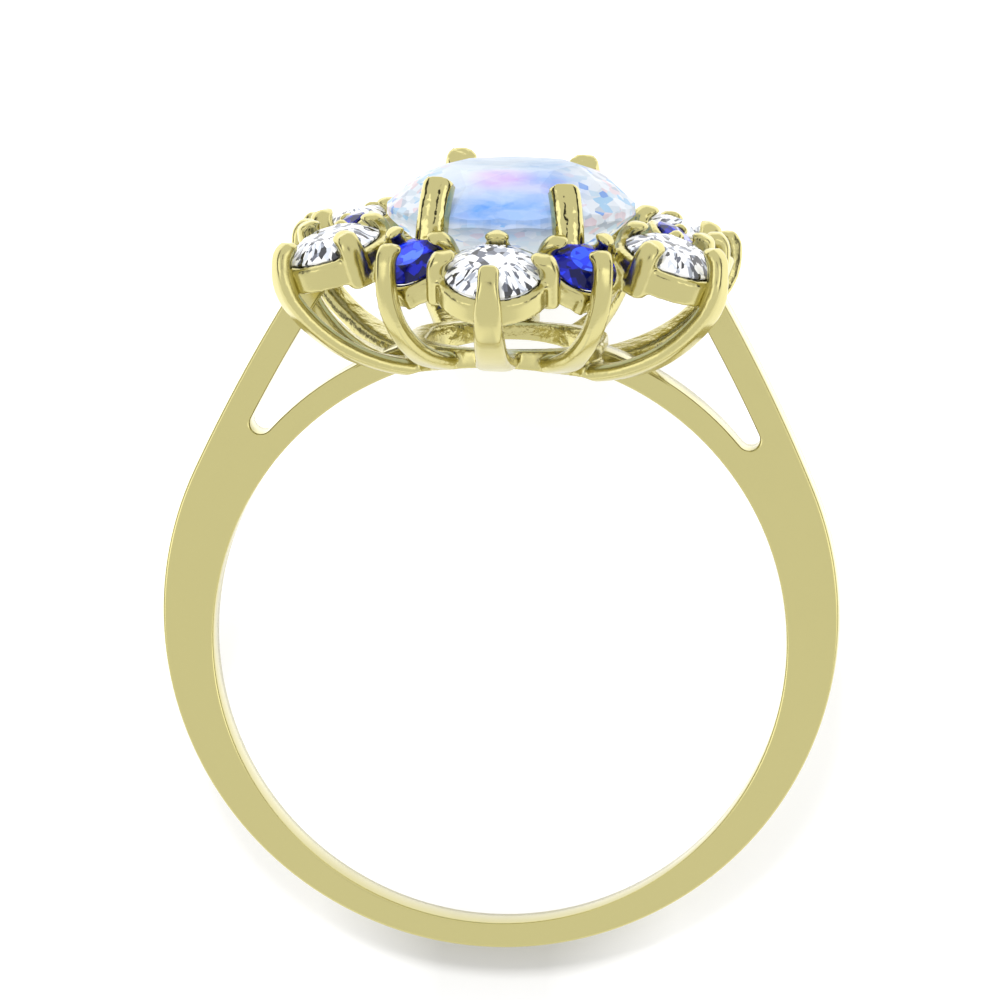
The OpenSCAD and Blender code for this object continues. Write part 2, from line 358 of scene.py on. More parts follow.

# %% [markdown]
# ## Moonstone
# A moonstone's sheen is light scattered by fine layers inside it. A volume shader
# could scatter it, but slowly and without a say in where the colours lie. So the sheen
# is painted: each colour is a soft ball at a place in the stone, mixed over the one
# before: a blue cloud, a lilac and a pinkish patch. Thin veils run through it, and the
# ends of the stone are clearer and break up into flat cells, painted reflections of
# facets in facets. A glow of the same colours adds painted light.

# %% Soft balls of colour and veils
BALL_EDGE, BALL_CORE = 1, 0.15
VEIL_SCALE, VEIL_STRETCH = 0.9, (1.0, 1.0, 3.4)
VEIL_FROM, VEIL_TO, VEIL_MOST = 0.42, 0.62, 0.32


def vector_step(tree, kind, vector, by=None):
    step = tree.nodes.new("ShaderNodeVectorMath")
    step.operation = kind
    tree.links.new(vector, step.inputs[0])
    if by:
        step.inputs[1].default_value = by
    return step.outputs


def add_patch(tree, below, centre, reach, colour, strength):
    """Mixes a soft ball of colour over what is below; reach is its size on each axis."""
    off = vector_step(tree, "SUBTRACT", stone_place(tree), centre)[0]
    far = vector_step(tree, "LENGTH", vector_step(tree, "DIVIDE", off, reach)[0])["Value"]
    near = tree.nodes.new("ShaderNodeMapRange")
    near.interpolation_type = "SMOOTHSTEP"
    set_inputs(near, {"From Min": BALL_EDGE, "From Max": BALL_CORE, "To Max": strength})
    tree.links.new(far, near.inputs["Value"])
    return blend_colours(tree, near.outputs["Result"], below, colour)


def stretched_place(tree, stretch, turn=(0, 0, 0)):
    place = tree.nodes.new("ShaderNodeMapping")
    set_inputs(place, {"Scale": stretch, "Rotation": turn})
    tree.links.new(stone_place(tree), place.inputs["Vector"])
    return place.outputs[0]


def veils(tree):
    place = stretched_place(tree, VEIL_STRETCH)
    pattern = noise(tree, place, {"Scale": VEIL_SCALE, "Detail": 4, "Distortion": 0.6})
    return spread(tree, pattern, 0, VEIL_MOST, VEIL_FROM, VEIL_TO)


def share_across(tree, start, end, low, high):
    """A share that grows from the middle of the stone to its left and right ends."""
    x = split(tree, stone_place(tree))[0]
    return spread(tree, reckon(tree, "ABSOLUTE", x), low, high, start, end)


def share_up(tree, start, end, low, high):
    """A share that changes with the height above the girdle."""
    return spread(tree, split(tree, stone_place(tree))[2], low, high, start, end)


# %% Moonstone
MILK, VEIL = (0.80, 0.88, 0.98), (0.84, 0.92, 1.0)
# Each patch of painted sheen: centre, reach, colour, strength
MOON_SHEEN_PATCHES = (((0, 0.2, 1.36), (3.0, 2.9, 0.35), (0.62, 0.70, 0.80), 1.0),
                ((1.0, -0.4, 1.36), (1.3, 2.2, 0.35), (0.40, 0.55, 0.78), 0.8),
                ((0.2, -3.9, 0.25), (3.3, 2.3, 1.05), (0.11, 0.35, 0.93), 1.0),
                ((1.2, -2.6, 0.95), (2.5, 1.9, 0.7), (0.28, 0.46, 0.97), 0.95),
                ((-1.2, -2.9, 1.0), (1.2, 1.2, 0.4), (0.62, 0.74, 1.0), 0.6),
                ((-0.1, -2.4, 1.12), (1.3, 1.5, 0.5), (0.74, 0.48, 0.96), 0.95),
                ((0.75, -2.9, 0.95), (1.0, 0.8, 0.25), (0.60, 0.54, 0.97), 0.7),
                ((2.7, 0.2, 0.9), (0.8, 1.4, 0.4), (1.0, 0.66, 0.68), 0.7),
                ((-3.1, -1.2, 0.35), (0.7, 1.6, 0.6), (0.82, 0.62, 0.68), 0.7),
                ((-2.5, -1.6, 0.75), (0.5, 1.4, 0.5), (0.42, 0.72, 0.82), 0.7))
# Colours of the flat cells, painted reflections of facets in facets
MOON_FLASH_REFLECTIONS = ((0, (0.08, 0.28, 0.80)), (0.04, (0.30, 0.58, 0.86)), (0.12, (0.56, 0.73, 0.86)),
                (0.26, (0.88, 0.91, 0.95)), (0.58, (0.50, 0.56, 0.64)), (0.68, (0.70, 0.77, 0.84)),
                (0.9, (0.86, 0.64, 0.67)))
FLASH_SCALE, FLASH_STRETCH, FLASH_TURN = 3.6, (0.8, 0.7, 1.5), (0.3, 0.5, 0.4)
# Each share: from where to where in the stone, and its value at either end
FLASH_ENDS = (1.5, 2.6, 0.1, 0.85)
FLASH_BELOW, FLASH_POINT = (0.12, -0.05, 0, 0.7), (-1.0, -0.4, 0.1, 0.45)
# The painted glow grows below the girdle and brightens the underside of the stone
SHEEN_GLOW_BELOW = (0.1, -0.4, 0.3, 0.6)
CLEAR_ENDS = (1.6, 3.0, 0.1, 0.5)


def moonstone_colour(tree):
    colour = MILK
    for patch in MOON_SHEEN_PATCHES:
        colour = add_patch(tree, colour, *patch)
    colour = blend_colours(tree, veils(tree), colour, VEIL)
    cells = cell_chance(tree, stretched_place(tree, FLASH_STRETCH, FLASH_TURN), FLASH_SCALE)
    below = reckon(tree, "MINIMUM", share_up(tree, *FLASH_BELOW), share_up(tree, *FLASH_POINT))
    share = reckon(tree, "MAXIMUM", share_across(tree, *FLASH_ENDS), below)
    colour = blend_colours(tree, share, colour, colour_steps(tree, cells, MOON_FLASH_REFLECTIONS))
    # Each facet is darkened a little by its steady painted shade
    tone = spread(tree, facet_shade(tree), 0.86, 1.0, 0, 1)
    return blend_colours(tree, 1.0, colour, tone, "MULTIPLY")


def moonstone_finish():
    """The surface has half of the colour, and a glow of the same colour is painted sheen, stronger below
    the girdle, where it brightens the stone's underside.
    """
    material, tree, shader = new_material("moonstone_milky_sheen")
    colour = moonstone_colour(tree)
    tree.links.new(blend_colours(tree, 0.5, colour, (0.0, 0.0, 0.0)), shader.inputs["Base Color"])
    tree.links.new(colour, shader.inputs["Emission Color"])
    tree.links.new(share_up(tree, *SHEEN_GLOW_BELOW), shader.inputs["Emission Strength"])
    tree.links.new(share_across(tree, *CLEAR_ENDS), shader.inputs["Transmission Weight"])
    set_inputs(shader, {"Specular IOR Level": 0, "Roughness": 0.03, "IOR": 1.53})
    return material


moonstone_milk = moonstone_finish()
print("moonstone with", len(MOON_SHEEN_PATCHES), "patches of colour")

# %% [markdown]
# ## Shank and shoulders
# The real shank is one flat band whose shoulders rise as open arms. It could be a ring
# with the window cut out by a Boolean, which leaves ragged faces. Seen along the finger
# it is a single outline, so the outline is drawn once for the right half from arcs. An
# arc is a vertex spun about a centre. The outline is filled, extruded to the width of
# the band, its long edges are bevelled, and the half is mirrored.

# %% Sizes of the shank
HOLE_R = 8.25
SHANK_WIDTH = 1.5
OUTER_R = 9.73
BOTTOM_THICK = 0.72
SHANK_RISE = OUTER_R - HOLE_R - BOTTOM_THICK
ARM_THICK = 0.82
RAIL_R = HOLE_R + 0.7
FOOT_R = 0.32
ARM_TOP = 10.5
ARM_Z = 4.66
ARM_R = 50
ARM_INNER_R = ARM_R - ARM_THICK
RAIL_END = 2.55
ARM_X = math.sqrt(OUTER_R**2 - (ARM_Z - SHANK_RISE) ** 2)
ARM_ANGLE = math.atan2(ARM_Z - SHANK_RISE, ARM_X)
ARM_CENTRE = Vector((ARM_X - ARM_R * math.cos(ARM_ANGLE), 0, ARM_Z - ARM_R * math.sin(ARM_ANGLE)))


def window_foot():
    """Centre of the small circle that touches both the arm and the rail."""
    near, far = RAIL_R + FOOT_R, ARM_R - ARM_THICK - FOOT_R
    span = ARM_CENTRE.length
    along = (near**2 - far**2 + span**2) / (2 * span)
    across = math.sqrt(near**2 - along**2)
    axis = ARM_CENTRE / span
    return axis * along + Vector((axis.z, 0, -axis.x)) * across


FOOT = window_foot()
print("the window's foot lies at", [round(v, 2) for v in FOOT])


# %% Draw the outline from arcs
def verts_in(made):
    return [g for g in made if isinstance(g, bmesh.types.BMVert)]


def edges_in(made):
    return [g for g in made if isinstance(g, bmesh.types.BMEdge)]


def angle_of(v):
    return math.atan2(v.z, v.x)


def arc(bm, start, centre, turn, steps):
    """Spins a vertex about a centre in the side plane and returns the last vertex."""
    made = bmesh.ops.spin(bm, geom=[start], cent=centre, axis=(0, -1, 0), angle=turn, steps=steps)
    return verts_in(made["geom_last"])[0]


def line_to(bm, start, place):
    end = bm.verts.new(place)
    bm.edges.new((start, end))
    return end


def half_outline(bm):
    """From the bottom of the band up its outer side, down round the window, and back."""
    top_out = math.asin((ARM_TOP - ARM_CENTRE.z) / ARM_R)
    top_in = math.asin((ARM_TOP - ARM_CENTRE.z) / ARM_INNER_R)
    touch_arm = angle_of(FOOT - ARM_CENTRE)
    touch_rail = angle_of(FOOT)
    rail_stop = math.acos(RAIL_END / RAIL_R)
    hole_stop = math.acos(RAIL_END / HOLE_R)
    here = bm.verts.new((0, 0, SHANK_RISE - OUTER_R))
    here = arc(bm, here, (0, 0, SHANK_RISE), math.pi / 2 + ARM_ANGLE, 56)
    here = arc(bm, here, ARM_CENTRE, top_out - ARM_ANGLE, 14)
    here = line_to(bm, here, ARM_CENTRE + ARM_INNER_R * Vector((math.cos(top_in), 0, math.sin(top_in))))
    here = arc(bm, here, ARM_CENTRE, touch_arm - top_in, 12)
    here = arc(bm, here, FOOT, touch_rail + math.pi - touch_arm - 2 * math.pi, 16)
    here = arc(bm, here, (0, 0, 0), rail_stop - touch_rail, 16)
    here = line_to(bm, here, (RAIL_END, 0, HOLE_R * math.sin(hole_stop)))
    arc(bm, here, (0, 0, 0), -math.pi / 2 - hole_stop, 80)
    bmesh.ops.remove_doubles(bm, verts=bm.verts, dist=WELD)


# %% Make the shank from its outline
SOFT_EDGE = 0.08
LONG_EDGE_ANGLE = 1.2
ON_MIDDLE, NEAR_MIDDLE = 1e-4, 0.02
BAND_SHARP = 42


def make_shank():
    bm = bmesh.new()
    half_outline(bm)
    bm.edges.new([v for v in bm.verts if len(v.link_edges) == 1])
    bmesh.ops.contextual_create(bm, geom=bm.edges[:])
    bmesh.ops.translate(bm, vec=(0, -SHANK_WIDTH / 2, 0), verts=bm.verts)
    grown = bmesh.ops.extrude_face_region(bm, geom=bm.faces[:])
    bmesh.ops.translate(bm, vec=(0, SHANK_WIDTH, 0), verts=verts_in(grown["geom"]))
    at_middle = [f for f in bm.faces if all(abs(v.co.x) < ON_MIDDLE for v in f.verts)]
    bmesh.ops.delete(bm, geom=at_middle, context="FACES_ONLY")
    bmesh.ops.recalc_face_normals(bm, faces=bm.faces)
    rims = [e for e in bm.edges if len(e.link_faces) == 2 and e.calc_face_angle(0) > LONG_EDGE_ANGLE]
    bmesh.ops.bevel(bm, geom=rims, offset=SOFT_EDGE, offset_type="OFFSET", segments=3, profile=0.5,
                    affect="EDGES", clamp_overlap=True, material=-1)
    for v in bm.verts:
        if abs(v.co.x) < NEAR_MIDDLE:
            v.co.x = 0
    copy = bmesh.ops.duplicate(bm, geom=bm.verts[:] + bm.edges[:] + bm.faces[:])
    bmesh.ops.scale(bm, vec=(-1, 1, 1), verts=verts_in(copy["geom"]))
    finish_piece(bm, "shank_and_shoulders", gold_flat, BAND_SHARP, "gold_mount")


make_shank()

# %% [markdown]
# ## Bars swept along a path
# Wires and claws are bars with soft corners that bend and taper. A curve with a bevel
# could follow the path, but its section couldn't change from round to flat. So a bar
# starts as a square face whose corners are bevelled, and is extruded from station to
# station. Each station is a matrix that says where the section is, how it is turned and
# how big it is. Shrinking the section over the last stations rounds the tip off.

# %% Sweep a soft-cornered bar
CORNER = 0.55
TIP_SHARE = 0.08


def station(place, side, out, half_width, half_thick):
    """A section at place: half_width along side, half_thick along out."""
    along = side.cross(out).normalized()
    turn = Matrix([side.normalized() * half_width, out.normalized() * half_thick, along]).transposed()
    return Matrix.Translation(place) @ turn.to_4x4()


def square(bm, filled):
    """A square of half width one, from a circle of four corners."""
    turn = Matrix.Rotation(math.pi / 4, 4, "Z")
    made = bmesh.ops.create_circle(bm, cap_ends=filled, segments=4, radius=math.sqrt(2), matrix=turn)
    return made["verts"]


def sweep_bar(bm, stations, corner=CORNER, segments=3):
    """A bar through the stations. Its first face is the only one without neighbours."""
    bmesh.ops.bevel(bm, geom=square(bm, filled=True), offset=corner, offset_type="OFFSET",
                    segments=segments, profile=0.5, affect="VERTICES", clamp_overlap=True, material=-1)
    face = next(f for f in bm.faces if all(len(e.link_faces) == 1 for e in f.edges))
    bmesh.ops.transform(bm, matrix=stations[0], verts=face.verts)
    for before, now in zip(stations, stations[1:]):
        grown = bmesh.ops.extrude_face_region(bm, geom=[face])
        face = next(g for g in grown["geom"] if isinstance(g, bmesh.types.BMFace))
        bmesh.ops.transform(bm, matrix=now @ before.inverted(), verts=face.verts)


def rounded_end(stations, reach, steps=4):
    """Adds stations that shrink like a dome, reaching beyond the last one."""
    last = stations[-1]
    along = (last.to_3x3() @ Vector((0, 0, 1))).normalized()
    for i in range(1, steps + 1):
        turn = math.pi / 2 * i / steps
        shrink = max(math.cos(turn), TIP_SHARE)
        move = Matrix.Translation(along * reach * math.sin(turn))
        stations.append(move @ last @ Matrix.Diagonal((shrink, shrink, 1, 1)))


def add_bead(bm, place, along, up, sizes):
    """A flattened ball: sizes are its half lengths along, across and up."""
    up = up.normalized()
    across = up.cross(along).normalized()
    turn = Matrix([across.cross(up), across, up]).transposed().to_4x4()
    where = Matrix.Translation(place) @ turn @ Matrix.Diagonal((*sizes, 1))
    bmesh.ops.create_uvsphere(bm, u_segments=20, v_segments=12, radius=1, matrix=where)


# %% [markdown]
# ## Casting
# Metal that is cast has no seams: where bars meet, the wax flows together in a soft
# corner. A Boolean union would join the bars with sharp corners. A voxel remesh wraps
# one skin round all the bars of a piece, and a few rounds of smoothing melt the
# corners. The voxel is a small part of a wire's thickness, so that no shape is lost.

# %% Fuse bars into one skin
WIRE_VOXEL, SETTING_VOXEL, CLAW_VOXEL = 0.06, 0.066, 0.05
CAST_SHARP = 60


def smooth(bm, verts):
    bmesh.ops.smooth_vert(bm, verts=verts, factor=0.5, use_axis_x=True, use_axis_y=True, use_axis_z=True)


def fuse(bm, voxel, rounds=5):
    """Wraps one skin round everything in the bmesh and softens it."""
    bmesh.ops.recalc_face_normals(bm, faces=bm.faces)
    mesh = bpy.data.meshes.new("wax")
    bm.to_mesh(mesh)
    bm.free()
    wax = bpy.data.objects.new("wax", mesh)
    scene.collection.objects.link(wax)
    skin = wax.modifiers.new("skin", "REMESH")
    skin.mode = "VOXEL"
    skin.voxel_size = voxel
    fused = bmesh.new()
    fused.from_object(wax, bpy.context.evaluated_depsgraph_get())
    bpy.data.objects.remove(wax)
    bpy.data.meshes.remove(mesh)
    loose = [v for v in fused.verts if not v.link_faces]
    bmesh.ops.delete(fused, geom=loose, context="VERTS")
    for _ in range(rounds):
        smooth(fused, fused.verts)
    return fused


# %% [markdown]
# ## Wires of the basket
# Twelve wires leave the base ring like spokes. Each runs along the finger's curve,
# sweeps up and out, stands upright and bends in over its stone as an outer claw. They
# flare where they are soldered to the base ring and taper towards the tip, where a
# small bead is rubbed down on the stone. A wire could be drawn point by point. Two arcs
# and a bend give the same sweep from a few radii, so that all twelve agree.

# %% Sizes of the wires
OVAL = 1.12
STEP = math.radians(60)
WIRE_FOOT = 2.5
BASE_STRAIGHT = 0.85
WIRE_SIT = 3.3
# Widths: height above the finger's axis, width of the wire there
LARGE_WIRE = dict(reach=7.35, low_r=5.65, high_r=2.0, thick=0.5, up_z=11.0, tip_z=11.42, head=0.3,
                  widths=((7.9, 1.6), (8.35, 1.25), (8.8, 0.94), (9.6, 0.84), (10.4, 0.78), (11.1, 0.6)))
SMALL_WIRE = dict(reach=6.3, low_r=4.25, high_r=2.6, thick=0.47, up_z=11.2, tip_z=11.55, head=0.38,
                  widths=((8.0, 1.5), (8.35, 1.1), (8.8, 0.7), (9.4, 0.6), (11.4, 0.57)))
SIDE_WIRE = dict(SMALL_WIRE, low_r=3.75)
# How much lower the tip of each large wire ends, counted from the near end
TIP_DROPS = (0.14, -0.08, 0.24, 0.14, 0.1, 0.14)
TIP_BEND_R, TIP_BEND, TIP_BEND_RISE = 0.4, math.radians(62), 0.16
TIP_DOME, BEAD_LENGTH, BEAD_HEIGHT, BEAD_LEAN = 0.12, 0.28, 0.18, 0.4


def width_at(widths, z):
    """Width of a wire at a height, between the heights that are named."""
    for (z0, w0), (z1, w1) in zip(widths, widths[1:]):
        if z <= z1:
            return w0 + (w1 - w0) * max(z - z0, 0) / (z1 - z0)
    return widths[-1][1]


print("a large wire is", round(width_at(LARGE_WIRE["widths"], 9), 2), "mm wide above its foot")


# %% Path of a wire
def unit(a):
    return Vector((math.cos(a), math.sin(a)))


def wire_path(spec, foot, out, sit_z, tip_z):
    """Points on the middle of the wire with their outward directions, in its own plane."""
    low_r, high_r, thick, up_z = spec["low_r"], spec["high_r"], spec["thick"], spec["up_z"]
    dz = up_z - sit_z - low_r
    dx = math.sqrt((low_r - high_r) ** 2 - dz**2)
    high = Vector((out - high_r, up_z))
    low = high - Vector((dx, dz))
    start = -math.acos((foot - low.x) / low_r)
    join = math.atan2(dz, dx)
    path = []
    for centre, r, begin, end, steps in ((low, low_r, start, join, 16), (high, high_r, join, 0, 10)):
        for i in range(steps):
            way = unit(begin + (end - begin) * i / steps)
            path.append((centre + way * (r - thick / 2), way))
    hub = Vector((out - thick / 2 - TIP_BEND_R, tip_z - TIP_BEND_RISE))
    path.append((Vector((out - thick / 2, (up_z + tip_z - TIP_BEND_RISE) / 2)), Vector((1, 0))))
    for i in range(7):
        way = unit(TIP_BEND * i / 6)
        path.append((hub + way * TIP_BEND_R, way))
    return path


# %% Make the wires
def add_wire(bm, a, spec, drop=0.0):
    """One wire at the angle a from the near end; drop lowers its tip."""
    stretch = math.hypot(math.sin(a), OVAL * math.cos(a))
    across = Vector((math.sin(a), -OVAL * math.cos(a), 0)) / stretch
    side = Vector((0, 0, 1)).cross(across)
    sit_z = math.sqrt(HOLE_R**2 - (WIRE_SIT * math.sin(a)) ** 2)
    foot = WIRE_FOOT + BASE_STRAIGHT * abs(across.y)
    stations = []
    for point, way in wire_path(spec, foot, spec["reach"] * stretch, sit_z, spec["tip_z"] - drop):
        width = width_at(spec["widths"], point.y)
        place = across * point.x + Vector((0, 0, point.y))
        out = across * way.x + Vector((0, 0, way.y))
        stations.append(station(place, side, out, width / 2, spec["thick"] / 2))
    tip = stations[-1].translation
    rounded_end(stations, TIP_DOME)
    sweep_bar(bm, stations)
    add_bead(bm, tip, -across, out + Vector((0, 0, BEAD_LEAN)), (BEAD_LENGTH, spec["head"], BEAD_HEIGHT))


def is_side(i):
    """The small stones at the left and right ends are the second and the fifth."""
    return i % 3 == 1


def add_wires(bm):
    for i in range(6):
        add_wire(bm, i * STEP, LARGE_WIRE, TIP_DROPS[i])
        add_wire(bm, (i + 0.5) * STEP, SIDE_WIRE if is_side(i) else SMALL_WIRE)


# %% [markdown]
# ## Base ring
# The wires stand on an oval ring that sits on the finger. A scaled torus would be
# thicker at its long ends. So the section, an upright rectangle, is spun about each
# end's centre and drawn straight between. When ring and wires are fused, the underside
# is pressed to the curve of the finger.

# %% Draw the base ring
BASE_R = 2.82
BASE_BAR = 0.56
BASE_TOP = 8.76
BASE_HALF = 0.9
UNDERSIDE_FROM = BASE_TOP - 0.5
UNDERSIDE_SINK = 0.04
print("base ring", 2 * BASE_R, "by", round(2 * (BASE_R + BASE_STRAIGHT), 2), "mm")


def add_base_ring(bm):
    middle = Matrix.Translation((BASE_R - BASE_BAR / 2, BASE_STRAIGHT, BASE_TOP - BASE_HALF))
    upright = Matrix.Rotation(math.pi / 2, 4, "X")
    section = middle @ upright @ Matrix.Diagonal((BASE_BAR / 2, BASE_HALF, 1, 1))
    bmesh.ops.transform(bm, matrix=section, verts=square(bm, filled=False))
    geom = bm.verts[:] + bm.edges[:]
    for sign in (1, -1):
        spun = bmesh.ops.spin(bm, geom=geom, cent=(0, sign * BASE_STRAIGHT, 0), axis=(0, 0, 1),
                              angle=math.pi, steps=36)
        grown = bmesh.ops.extrude_edge_only(bm, edges=edges_in(spun["geom_last"]))
        moved = verts_in(grown["geom"])
        bmesh.ops.translate(bm, vec=(0, -sign * 2 * BASE_STRAIGHT, 0), verts=moved)
        geom = moved + [e for e in edges_in(grown["geom"]) if all(v in moved for v in e.verts)]
    bmesh.ops.remove_doubles(bm, verts=bm.verts, dist=WELD)
    for v in bm.verts:
        if v.co.z < UNDERSIDE_FROM:
            v.co.z = math.sqrt(HOLE_R**2 - v.co.x**2) - UNDERSIDE_SINK


# %% Make the basket
def press_on_finger(bm, rounds=3):
    """Pushes whatever reaches into the finger hole back to its wall and smooths it."""
    for _ in range(rounds):
        pressed = [v for v in bm.verts if math.hypot(v.co.x, v.co.z) < HOLE_R]
        for v in pressed:
            grow = HOLE_R / math.hypot(v.co.x, v.co.z)
            v.co.x *= grow
            v.co.z *= grow
        smooth(bm, pressed)


def make_basket():
    bm = bmesh.new()
    add_base_ring(bm)
    add_wires(bm)
    skin = fuse(bm, WIRE_VOXEL)
    press_on_finger(skin)
    finish_piece(skin, "basket", gold_basket, CAST_SHARP)


make_basket()

# %% [markdown]
# ## Collets and small claws
# Each round stone drops into a collet, a short cup whose wall ends just under the
# stone's edge. A cup is turned work, so its profile is spun full circle, which keeps it
# truer than a cone with a hole cut out. Between the outer wires the stones are held by
# short claws beside the collets: pillars whose heads are pushed over the stone and
# rubbed down round, like beads. Two ribs stiffen the outside of each small collet.

# %% Seats of the stones
LARGE_R, LARGE_REACH, LARGE_Z, LARGE_LEAN = 1.375, 5.54, 11.42, 21
END_DROP, END_LEAN, FRONT_LIFT = 0.14, 26, 0.08
SMALL_R, SMALL_REACH, SMALL_Z, SMALL_LEAN = 0.95, 4.88, 11.35, 38
SIDE_LIFT, SIDE_LEAN = 0.12, 46


def seat(a, reach, z, lean):
    """Frame of a seat: x out and down the slope, z out of the stone's table."""
    place = Matrix.Translation((reach * math.sin(a), -reach * OVAL * math.cos(a), z))
    turn = Matrix.Rotation(math.atan2(-math.cos(a), OVAL * math.sin(a)), 4, "Z")
    return place @ turn @ Matrix.Rotation(math.radians(lean), 4, "Y")


def large_seat(i):
    end = i % 3 == 0
    lift = FRONT_LIFT if i in (1, 5) else -END_DROP if end else 0
    return seat(i * STEP, LARGE_REACH, LARGE_Z + lift, END_LEAN if end else LARGE_LEAN)


def small_seat(i):
    lift, lean = (SIDE_LIFT, SIDE_LEAN) if is_side(i) else (0, SMALL_LEAN)
    return seat((i + 0.5) * STEP, SMALL_REACH, SMALL_Z + lift, lean)


for i in range(3):
    print("large seat", i + 1, [round(v, 2) for v in large_seat(i).translation],
          "small seat", i + 1, [round(v, 2) for v in small_seat(i).translation])

# %% Turn the collets
LARGE_COLLET = dict(r=LARGE_R, wall=0.25, height=0.8)
SMALL_COLLET = dict(r=SMALL_R, wall=0.2, height=0.76)
BORE_SHARE, BORE_TOP = 0.72, 0.62
RIM_DROP = 0.1
LIP_OUT, LIP_DROP = 0.02, 0.03
BED_IN, BED_DROP = 0.1, 0.14
RIB_ANGLES, RIB_HEIGHTS = (-0.34, 0.34), (-0.76, -0.5, -0.24)
RIB_OUT, RIB_HALF_WIDTH, RIB_HALF_THICK = 0.18, 0.15, 0.14


def add_collet(bm, where, r, wall, height):
    """A cup whose wall runs in at its lip, under the stone, to a light hole below."""
    profile = [(r * BORE_SHARE, -height), (r + wall, -height), (r + wall, -RIM_DROP),
               (r + LIP_OUT, -LIP_DROP), (r - BED_IN, -BED_DROP), (r * BORE_SHARE, -height * BORE_TOP)]
    verts = [bm.verts.new(where @ Vector((x, 0, z))) for x, z in profile]
    edges = [bm.edges.new((p, q)) for p, q in zip(verts, verts[1:] + verts[:1])]
    axis = where.to_3x3() @ Vector((0, 0, 1))
    bmesh.ops.spin(bm, geom=verts + edges, cent=where.translation, axis=axis, angle=2 * math.pi, steps=48,
                   use_merge=True)


def add_ribs(bm, where):
    for turn in RIB_ANGLES:
        out = unit(turn).to_3d()
        side = Vector((0, 0, 1)).cross(out)
        ribs = [station(out * (SMALL_R + RIB_OUT) + Vector((0, 0, z)), side, out, RIB_HALF_WIDTH,
                        RIB_HALF_THICK) for z in RIB_HEIGHTS]
        sweep_bar(bm, [where @ rib for rib in ribs])


# %% Shape a small claw
# Each claw: its section, lowest and highest point, and the half lengths of its bead
LARGE_CLAW = dict(width=0.7, thick=0.62, low=-1.0, high=0.42, bead=(0.4, 0.37, 0.17))
INNER_CLAW = dict(width=0.66, thick=0.5, low=-0.7, high=0.3, bead=(0.34, 0.38, 0.17))
SMALL_CLAW = dict(width=0.56, thick=0.5, low=-0.7, high=0.42, bead=(0.33, 0.32, 0.15))
SIDE_CLAW = dict(width=0.42, thick=0.4, low=-0.7, high=0.26, bead=(0.22, 0.22, 0.12))
HEAD_BEND = math.radians(52)
HEAD_RISE, HEAD_DOME, HEAD_TAPER, HEAD_LEAN = 0.36, 0.1, 0.1, 0.5
WIDE_ENOUGH = 0.5
FOOT_SHARE, FOOT_STEP = 0.8, 0.08
CLAW_CORNER = 0.75


def add_small_claw(bm, where, foot, lean_to, width, thick, low, high, bead):
    """A pillar at foot, its head bent towards lean_to, a direction in the seat's plane."""
    inward = Vector((*lean_to, 0)).normalized()
    side = Vector((0, 0, 1)).cross(-inward)
    base = Vector((*foot, 0))
    rise = HEAD_RISE * min(width / WIDE_ENOUGH, 1)
    straight = high - rise
    stations = []
    for z, share in ((low, FOOT_SHARE), (low + FOOT_STEP, 1), ((low + straight) / 2, 1), (straight, 1)):
        place = base + Vector((0, 0, z))
        stations.append(station(place, side, -inward, width / 2 * share, thick / 2 * share))
    bend_r = rise / math.sin(HEAD_BEND)
    hub = base + inward * bend_r + Vector((0, 0, straight))
    for i in range(1, 6):
        a = HEAD_BEND * i / 5
        out = -inward * math.cos(a) + Vector((0, 0, math.sin(a)))
        share = 1 - HEAD_TAPER * i / 5
        stations.append(station(hub + out * bend_r, side, out, width / 2 * share, thick / 2 * share))
    tip = (where @ stations[-1]).translation
    rounded_end(stations, HEAD_DOME)
    sweep_bar(bm, [where @ s for s in stations], CLAW_CORNER)
    turn = where.to_3x3()
    add_bead(bm, tip, turn @ inward, turn @ (out + Vector((0, 0, HEAD_LEAN))), bead)


# %% Make the settings
# Each pair of claws: how far down the slope, how far off the stone's edge, and its lean
LARGE_PAIR, SMALL_PAIR, SIDE_PAIR = (0.05, 0.2, 0), (-0.66, -0.04, 0.5), (-0.36, 0.06, 0.3)
INNER_OFF = 0.16


def add_claw_pair(bm, where, r, pair, claw):
    """Two claws, left and right of a stone of radius r, that lean in over it."""
    down, off, lean = pair
    for s in (-1, 1):
        add_small_claw(bm, where, (down, s * (r + off)), (lean, -s), **claw)


def add_large_setting(bm, where):
    add_collet(bm, where, **LARGE_COLLET)
    add_claw_pair(bm, where, LARGE_R, LARGE_PAIR, LARGE_CLAW)
    add_small_claw(bm, where, (-LARGE_R - INNER_OFF, 0), (1, 0), **INNER_CLAW)


def add_small_setting(bm, where, side):
    add_collet(bm, where, **SMALL_COLLET)
    add_ribs(bm, where)
    pair, claw = (SIDE_PAIR, SIDE_CLAW) if side else (SMALL_PAIR, SMALL_CLAW)
    add_claw_pair(bm, where, SMALL_R, pair, claw)


def make_settings():
    bm = bmesh.new()
    for i in range(6):
        add_large_setting(bm, large_seat(i))
        add_small_setting(bm, small_seat(i), is_side(i))
    skin = fuse(bm, SETTING_VOXEL)
    finish_piece(skin, "collets_and_small_claws", gold_polished, CAST_SHARP)


make_settings()

# %% [markdown]
# ## Claws of the moonstone
# Four heavy claws rise between the round stones and lean in over the crown. They are
# round bars, hammered and filed by hand, and their tips lie on a slant: nearly flat on
# the two in front, domed on the two behind. The slant could be cut by a plane, which
# would leave a sharp edge round the tip. Instead the sections of the swept bar are
# sheared more and more towards the tip, so that the last one lies on the slant.

